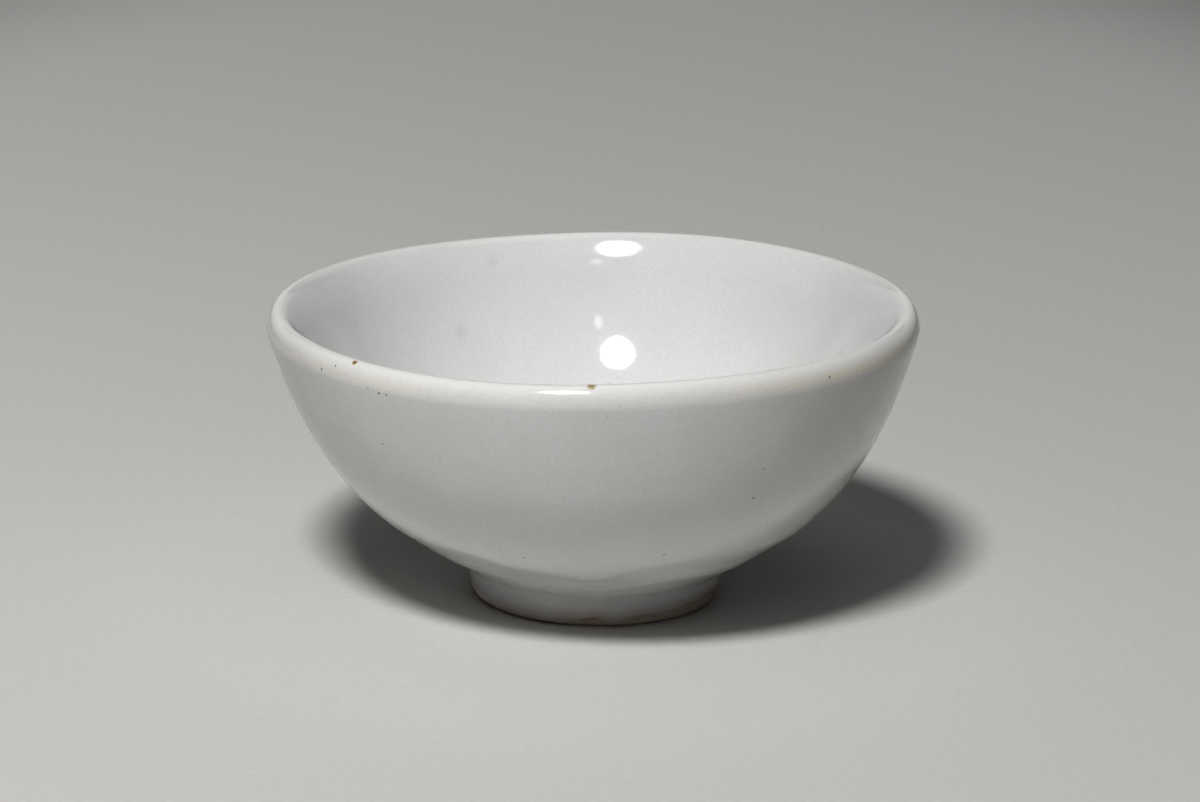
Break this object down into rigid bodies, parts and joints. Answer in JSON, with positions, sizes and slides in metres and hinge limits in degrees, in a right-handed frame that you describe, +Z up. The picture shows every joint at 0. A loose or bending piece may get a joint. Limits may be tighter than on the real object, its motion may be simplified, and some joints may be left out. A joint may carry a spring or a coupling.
{
  "type": "sake cup",
  "caption": "Small white porcelain sake cup: a wheel-thrown bowl with a rounded lip on a low foot ring, glazed inside and out down to a bare base edge.",
  "frame": {"origin": "under the middle of the lip's outline, on the level surface that the foot ring stands on", "axes": "+Z up; -Y towards the viewer of the picture; +X to their right, with the foot 0.8 mm off the middle of the lip towards +X"},
  "size_m": [0.076, 0.076, 0.0358],
  "materials": {
    "fired_porcelain": "fired clay under the glaze, matt, off white",
    "bare_porcelain": "bare fired clay, matt, toasted brown along its edge",
    "white_glaze": "glossy clear glaze on white clay, cool white, with a few iron specks",
    "pooled_glaze": "glossy glaze, pooled in the corner, faintly blue-grey"
  },
  "bodies": {
    "root": {"porcelain_bowl": "fired_porcelain", "foot_ring": "bare_porcelain", "glaze_coat": "white_glaze", "foot_well_glaze": "pooled_glaze"}
  },
  "joints": []
}
